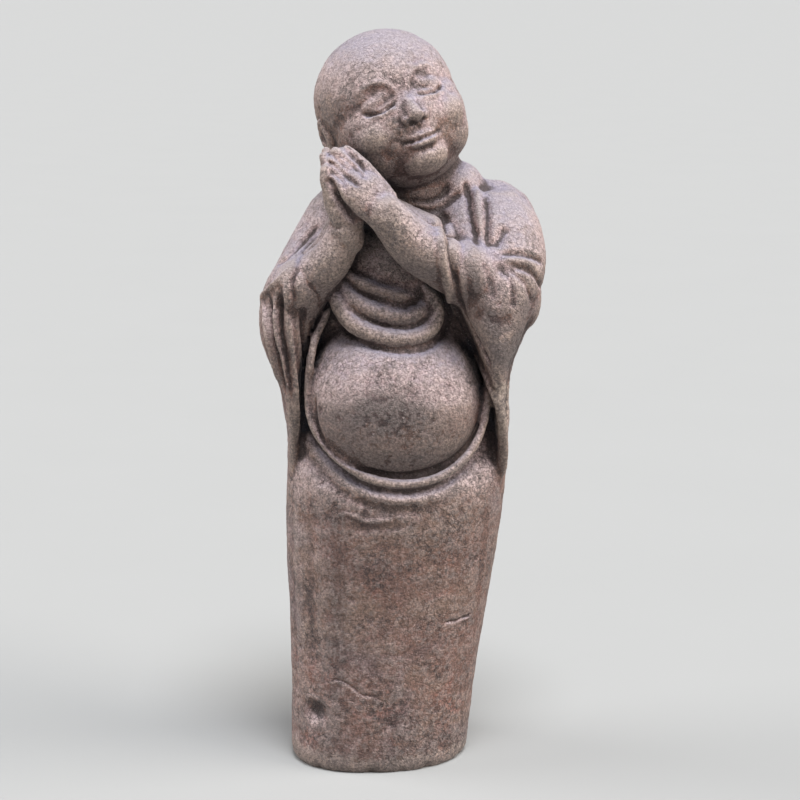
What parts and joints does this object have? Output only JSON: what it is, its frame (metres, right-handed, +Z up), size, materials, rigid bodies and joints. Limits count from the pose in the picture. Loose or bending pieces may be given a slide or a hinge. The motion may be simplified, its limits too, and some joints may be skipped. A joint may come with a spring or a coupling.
{
  "type": "monk statue",
  "caption": "Standing garden figure of a plump sleeping monk in a draped robe, cheek on folded hands, cast in rough stone.",
  "frame": {"origin": "centre of the flat underside, where the robe's foot meets the floor", "axes": "+Z up the figure, -Y the way the figure's front faces, +X to the right of someone who looks at its face"},
  "size_m": [0.3827, 0.299, 1.0002],
  "materials": {
    "stone": "rough cast stone, brown, with pale mauve-grey dust on what faces up"
  },
  "bodies": {
    "root": {"statue": "stone"}
  },
  "joints": []
}
